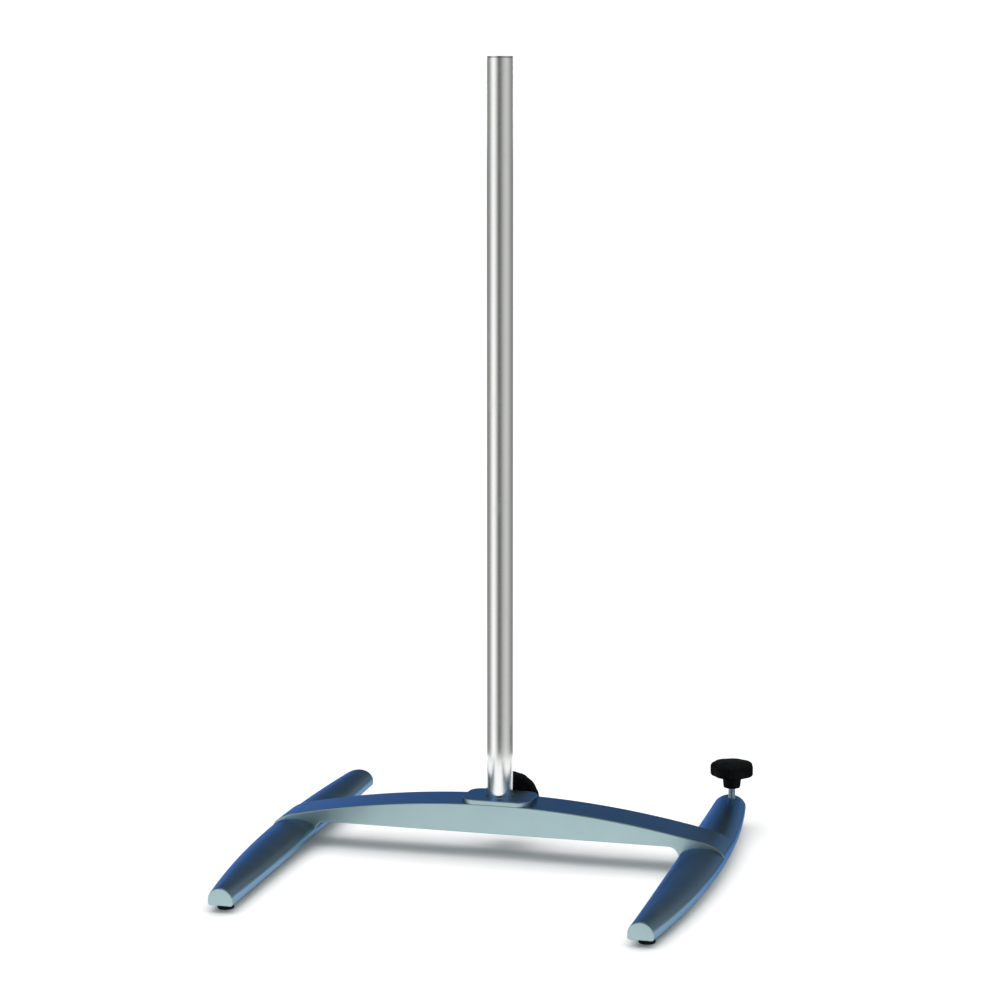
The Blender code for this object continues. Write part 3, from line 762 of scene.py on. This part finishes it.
def threaded_rod(length):
    """Rod about Z with an M10 thread, pointed a little at its lower end."""
    segments = 48
    step = THREAD_PITCH / 10
    rings = []
    for k in range(int(length / step) + 1):
        z = step * k
        ring = []
        for i in range(segments):
            angle = 2 * math.pi * i / segments
            turn = (z / THREAD_PITCH - angle / (2 * math.pi)) % 1.0
            flank = abs(2 * turn - 1)
            dip = THREAD_DEPTH * min(1.0, max(0.0, (flank - 0.12) / 0.78))
            radius = min(THREAD_RADIUS - THREAD_PLAY - dip, THREAD_RADIUS - THREAD_POINT + z)
            ring.append((radius * math.cos(angle), radius * math.sin(angle), z))
        rings.append(ring)
    return loft(rings)


def build_clamp(finish):
    """Clamp screw behind the column: knob, stud, pad and bush, all along +Y."""
    along_y = (-math.pi / 2, 0, 0)
    low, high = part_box("clamp_knob")
    knob = lobed_knob((high.z - low.z) / 2, high.y - low.y, hub_low=14.0 * MM, hub_high=14.0 * MM,
                      lobes=14, depth=0.7 * MM)
    add_piece("clamp_handwheel", knob, "clamp_screw", finish["knob_plastic"], ["clamp_knob"],
              place=(CLAMP.x, low.y, CLAMP.z), turn=along_y)
    low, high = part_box("clamp_stud")
    add_piece("clamp_thread", threaded_rod(high.y - low.y), "clamp_screw",
              finish["zinc_steel"], ["clamp_stud"], place=(CLAMP.x, low.y, CLAMP.z), turn=along_y, sharp=60)
    low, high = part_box("clamp_pad")
    radius, length = (high.x - low.x) / 2, high.y - low.y
    pad = [(radius - 0.7 * MM, 0.0), (radius - 0.2 * MM, 0.2 * MM), (radius, 0.7 * MM),
           (radius, length - 0.3 * MM), (radius - 0.3 * MM, length)]
    add_piece("clamp_thrust_pad", turned(pad, 64), "clamp_pad", finish["brass"], ["clamp_pad"],
              place=(CLAMP.x, low.y, CLAMP.z), turn=along_y, sharp=25)
    low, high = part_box("clamp_bush")
    build_bush("clamp_thread_bush", (high.x - low.x) / 2, high.y - low.y, "clamp_bush", finish,
               (CLAMP.x, low.y, CLAMP.z), along_y)


def build_bush(name, radius, length, node, finish, place, turn=(0, 0, 0)):
    """Threaded bush with a chamfered mouth at both ends."""
    lead = 0.7 * MM
    edge = 0.4 * MM
    profile = [(THREAD_BORE, lead), (THREAD_BORE + lead, 0.0), (radius - edge, 0.0), (radius, edge),
               (radius, length - edge), (radius - edge, length), (THREAD_BORE + lead, length),
               (THREAD_BORE, length - lead)]
    add_piece(name, turned(profile, 72, closed=True), "base", finish["zinc_steel"], [node],
              place=place, turn=turn, sharp=25)


def swivel_pad_profile(radius, top):
    """Outline of the levelling foot: collar round the spindle, hollowed top, flange and grooved sole."""
    collar = THREAD_BORE + 2.3 * MM
    cup = 4.0 * MM
    profile = [(0.3 * MM, cup), (THREAD_BORE, cup), (THREAD_BORE, top - 0.4 * MM),
               (THREAD_BORE + 0.4 * MM, top), (THREAD_BORE + 1.9 * MM, top), (collar, top - 0.4 * MM)]
    for angle in quarter_turn(6)[1:]:
        profile.append((collar + (radius - THREAD_BORE - 2.3 * MM) * (1 - math.cos(angle)),
                        6.0 * MM + 3.4 * MM * (1 - math.sin(angle))))
    profile += [(radius, 1.0 * MM), (radius - 0.3 * MM, 0.3 * MM), (radius - 1.0 * MM, 0.0),
                (radius - 2.2 * MM, 0.0), (radius - 2.6 * MM, 0.5 * MM), (radius - 3.4 * MM, 0.5 * MM),
                (radius - 3.8 * MM, 0.0), (0.3 * MM, 0.0)]
    return profile


def build_leveling(finish):
    """Levelling screw: lobed knob, threaded spindle, swivel pad and bush."""
    low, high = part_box("leveling_knob")
    knob = lobed_knob(high.y - LEVEL.y, high.z - low.z, hub_low=11.4 * MM, hub_high=13.0 * MM,
                      lobes=7, depth=2.3 * MM)
    add_piece("leveling_handwheel", knob, "leveling_screw", finish["knob_plastic"],
              ["leveling_knob"], place=(LEVEL.x, LEVEL.y, low.z))
    low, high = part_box("leveling_screw")
    add_piece("leveling_spindle", threaded_rod(high.z - low.z), "leveling_screw",
              finish["zinc_steel"], ["leveling_screw"], place=(LEVEL.x, LEVEL.y, low.z), sharp=60)
    low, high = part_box("leveling_foot")
    pad = swivel_pad_profile((high.x - low.x) / 2, high.z)
    add_piece("leveling_swivel_pad", turned(pad, 96), "leveling_foot", finish["pad_plastic"],
              ["leveling_foot"], place=(LEVEL.x, LEVEL.y, 0.0), sharp=30)
    low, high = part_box("leveling_bush")
    build_bush("leveling_thread_bush", (high.x - low.x) / 2, high.z - low.z, "leveling_bush", finish,
               (LEVEL.x, LEVEL.y, low.z))


def foot_profile(radius, height):
    """Closed outline of a rubber foot: counterbored for its screw head, grooved sole, bulging side."""
    counterbore = 5.2 * MM
    seat = 4.0 * MM
    return [(FOOT_HOLE, seat), (counterbore, seat), (counterbore, 0.3 * MM), (5.5 * MM, 0.0),
            (6.6 * MM, 0.0), (6.9 * MM, 0.4 * MM), (7.7 * MM, 0.4 * MM), (8.0 * MM, 0.0),
            (radius - 1.2 * MM, 0.0), (radius - 0.35 * MM, 0.35 * MM), (radius, 1.2 * MM),
            (radius - 0.2 * MM, height * 0.5), (radius - 0.45 * MM, height - 0.9 * MM),
            (radius - 0.7 * MM, height - 0.25 * MM), (radius - 1.3 * MM, height), (FOOT_HOLE, height)]


def pan_screw(head, low, high):
    """Pan-head screw about Z, head down, with a cross slot."""
    profile = [(0.2 * MM, low), (head - 1.6 * MM, low), (head - 0.6 * MM, low + 0.35 * MM),
               (head - 0.1 * MM, low + 1.1 * MM), (head, SCREW_HEAD_TOP), (SCREW_SHANK, SCREW_HEAD_TOP),
               (SCREW_SHANK, high - 0.6 * MM), (SCREW_SHANK - 0.6 * MM, high)]
    length, width = SCREW_SLOT
    slots = []
    for turn in (0.0, math.pi / 2):
        bar = loft([[(-length, -width, z), (length, -width, z), (length, width, z), (-length, width, z)]
                    for z in (low - MM, low + 1.4 * MM)])
        slots.append((bar, "DIFFERENCE", (0, 0, 0), (0, 0, turn)))
    return carve(turned(profile, 48), slots)


def build_feet(finish):
    """Rubber feet and the pan-head screws inside them."""
    for where in ("front_left", "front_right", "rear_left"):
        low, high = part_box("foot_" + where)
        centre = (low + high) / 2
        foot = turned(foot_profile((high.x - low.x) / 2, high.z), 80, closed=True)
        add_piece("rubber_foot_" + where, foot, "base", finish["foot_rubber"],
                  ["foot_" + where], place=(centre.x, centre.y, 0.0), sharp=30)
        low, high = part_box("foot_screw_" + where)
        screw = pan_screw((high.x - low.x) / 2, low.z, high.z)
        add_piece("pan_screw_" + where, screw, "base", finish["zinc_steel"],
                  ["foot_screw_" + where], place=(centre.x, centre.y, 0.0), sharp=30)


def socket_bolt(low, high):
    """Socket-head bolt about Z, head down, with a knurled rim and a hexagon."""
    segments = 96
    length = (high - low) / MM
    # radius and height in millimetres, share of the knurl
    rows = [(4.6, 0.0, 0), (5.9, 0.0, 0), (6.3, 0.35, 0), (6.45, 0.9, 0.4), (6.5, 1.4, 1), (6.5, 6.9, 1),
            (6.45, 7.4, 0.4), (6.1, 8.0, 0), (4.0, 8.0, 0), (4.0, length - 0.8, 0), (3.2, length, 0)]
    rings = []
    for radius, z, knurl in rows:
        ring = []
        for i in range(segments):
            angle = 2 * math.pi * i / segments
            r = radius * MM - (KNURL_DEPTH if i % 2 else 0.0) * knurl
            ring.append((r * math.cos(angle), r * math.sin(angle), low + z * MM))
        rings.append(ring)
    hexagon = loft([circle(HEXAGON_RADIUS, z, 6) for z in (low - MM, low + 4.0 * MM)])
    return carve(loft(rings), [(hexagon, "DIFFERENCE", (0, 0, 0), (0, 0, 0))])


def washer_profile(radius, low, high):
    """Closed outline of a washer, chamfered outside."""
    hole = 4.3 * MM
    return [(hole, low), (radius - 0.25 * MM, low), (radius, low + 0.3 * MM), (radius, high - 0.3 * MM),
            (radius - 0.25 * MM, high), (hole, high)]


def build_leg_bolts(finish):
    """Bolts and washers that hold the crossbeam to the legs."""
    for hand in ("left", "right"):
        for end in ("front", "rear"):
            where = "{}_{}".format(hand, end)
            low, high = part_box("leg_bolt_" + where)
            centre = (low + high) / 2
            place = (centre.x, centre.y, 0.0)
            add_piece("socket_bolt_" + where, socket_bolt(low.z, high.z), "base",
                      finish["zinc_steel"], ["leg_bolt_" + where], place=place, sharp=30)
            low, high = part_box("leg_washer_" + where)
            washer = turned(washer_profile((high.x - low.x) / 2, low.z, high.z), 80, closed=True)
            add_piece("flat_washer_" + where, washer, "base", finish["zinc_steel"],
                      ["leg_washer_" + where], place=place, sharp=25)


# ---------------------------------------------------------------- studio

CAMERA_LENS = 95.7
CAMERA_YAW = 15.03
CAMERA_PITCH = 8.44
CAMERA_FROM_COLUMN = (0.892, -3.322, 0.988)


def build_camera():
    """Camera in front, a little to the right and above."""
    data = bpy.data.cameras.new("view")
    data.lens = CAMERA_LENS
    data.sensor_width = 36.0
    data.clip_end = 200.0
    camera = bpy.data.objects.new("view", data)
    bpy.context.scene.collection.objects.link(camera)
    x, y, z = CAMERA_FROM_COLUMN
    camera.location = (COLUMN.x + x, COLUMN.y + y, z)
    camera.rotation_euler = (math.radians(90 - CAMERA_PITCH), 0.0, math.radians(CAMERA_YAW))
    bpy.context.scene.camera = camera


ROOM_TONE = 0.27
# Soft panels round the stand: bearing from the front (left negative), half width, brightness added
SOFT_PANELS = ((-58.0, 48.0, 1.05), (57.0, 62.0, 0.44), (-8.0, 32.0, -0.21))
PANEL_TOP = (0.40, 0.62)          # sine of the elevation where the panels fade out
# Wall behind the stand, lit from below: brightness by the sine of the elevation
WALL_TONES = ((0.00, 1.90), (0.06, 1.80), (0.14, 1.15), (0.24, 0.35), (0.50, 0.04), (0.72, 0.11),
              (0.86, 0.40), (1.00, 0.55))
WALL_BEARING = (144.0, 166.0)     # the wall takes over from the panels between these bearings
BACKGROUND = 1.12                 # brightness that only the camera sees
FLOOR_RADIUS = 0.56
OVERHEAD = (2.4, 6.0, 1.52)       # height, width and radiance of the soft light above


def soft_panel(n, bearing, centre, half_width, brightness):
    """One panel's share of the light at a bearing, fading smoothly to its sides."""
    away = n.math("ABSOLUTE", n.math("SUBTRACT", bearing, centre / 180.0))
    return n.remap(away, half_width / 180.0, 0.0, 0.0, brightness, "SMOOTHSTEP")


def build_world():
    """White background for the camera; everything else is lit by soft panels and a wall behind."""
    world = bpy.data.worlds.new("studio")
    bpy.context.scene.world = world
    n = Nodes("studio", world)
    where = n.add("ShaderNodeTexCoord")
    turn = n.add("ShaderNodeMapping", vector_type="TEXTURE")
    turn.inputs["Rotation"].default_value = (0.0, 0.0, math.radians(CAMERA_YAW - 90.0))
    n.join(where.outputs["Generated"], turn.inputs["Vector"])
    split = n.add("ShaderNodeSeparateXYZ")
    n.join(turn.outputs["Vector"], split.inputs["Vector"])
    bearing = n.math("DIVIDE", n.math("ARCTAN2", split.outputs["Y"], split.outputs["X"]), math.pi)
    panels = ROOM_TONE
    for centre, half_width, brightness in SOFT_PANELS:
        panels = n.math("ADD", soft_panel(n, bearing, centre, half_width, brightness), panels)
    wall = n.ramp(split.outputs["Z"], [(place, (tone,) * 3) for place, tone in WALL_TONES])
    start, end = WALL_BEARING
    beside = n.remap(n.math("ABSOLUTE", bearing), start / 180.0, end / 180.0, 1.0, 0.0)
    low_down = n.remap(split.outputs["Z"], *PANEL_TOP, 1.0, 0.0)
    below_floor = n.remap(split.outputs["Z"], -0.02, 0.0, 1.0, 0.0)
    share = n.math("MAXIMUM", n.math("MULTIPLY", beside, low_down), below_floor)
    studio = n.mix(share, wall, panels)
    path = n.add("ShaderNodeLightPath")
    n.join(n.mix(path.outputs["Is Camera Ray"], studio, (BACKGROUND, BACKGROUND, BACKGROUND)),
           n.shader.inputs["Color"])


def build_floor():
    """Plain pale floor, a round sheet."""
    floor_mesh = bpy.data.meshes.new("floor")
    bm = bmesh.new()
    ring = [bm.verts.new(point) for point in circle(FLOOR_RADIUS, 0.0, 128, (COLUMN.x, COLUMN.y))]
    bm.faces.new(ring)
    bm.to_mesh(floor_mesh)
    bm.free()
    floor = bpy.data.objects.new("floor", floor_mesh)
    bpy.context.scene.collection.objects.link(floor)
    n = Nodes("pale_floor")
    n.set(Base_Color=(0.90, 0.90, 0.90, 1.0), Roughness=0.9, Specular_IOR_Level=0.1)
    floor_mesh.materials.append(n.owner)


def add_overhead():
    """Large soft light above the stand."""
    height, width, radiance = OVERHEAD
    data = bpy.data.lights.new("overhead", "AREA")
    data.shape = "SQUARE"
    data.size = width
    data.energy = radiance * math.pi * width * width
    light = bpy.data.objects.new("overhead", data)
    bpy.context.scene.collection.objects.link(light)
    light.location = (COLUMN.x, COLUMN.y, height)
    light.visible_camera = False
    light.visible_glossy = False


def build_studio():
    """World, floor and overhead light."""
    bpy.context.scene.view_settings.view_transform = "Standard"
    build_world()
    build_floor()
    add_overhead()


def main():
    """Build every piece around the frame."""
    finish = build_materials()
    build_studio()
    build_camera()
    build_crossbeam(finish["paint"])
    build_leg("leg_left_cast", -1, finish["paint"])
    build_leg("leg_right_cast", 1, finish["paint"])
    build_column(finish)
    build_clamp(finish)
    build_leveling(finish)
    build_feet(finish)
    build_leg_bolts(finish)


main()

bpy.context.view_layer.update()
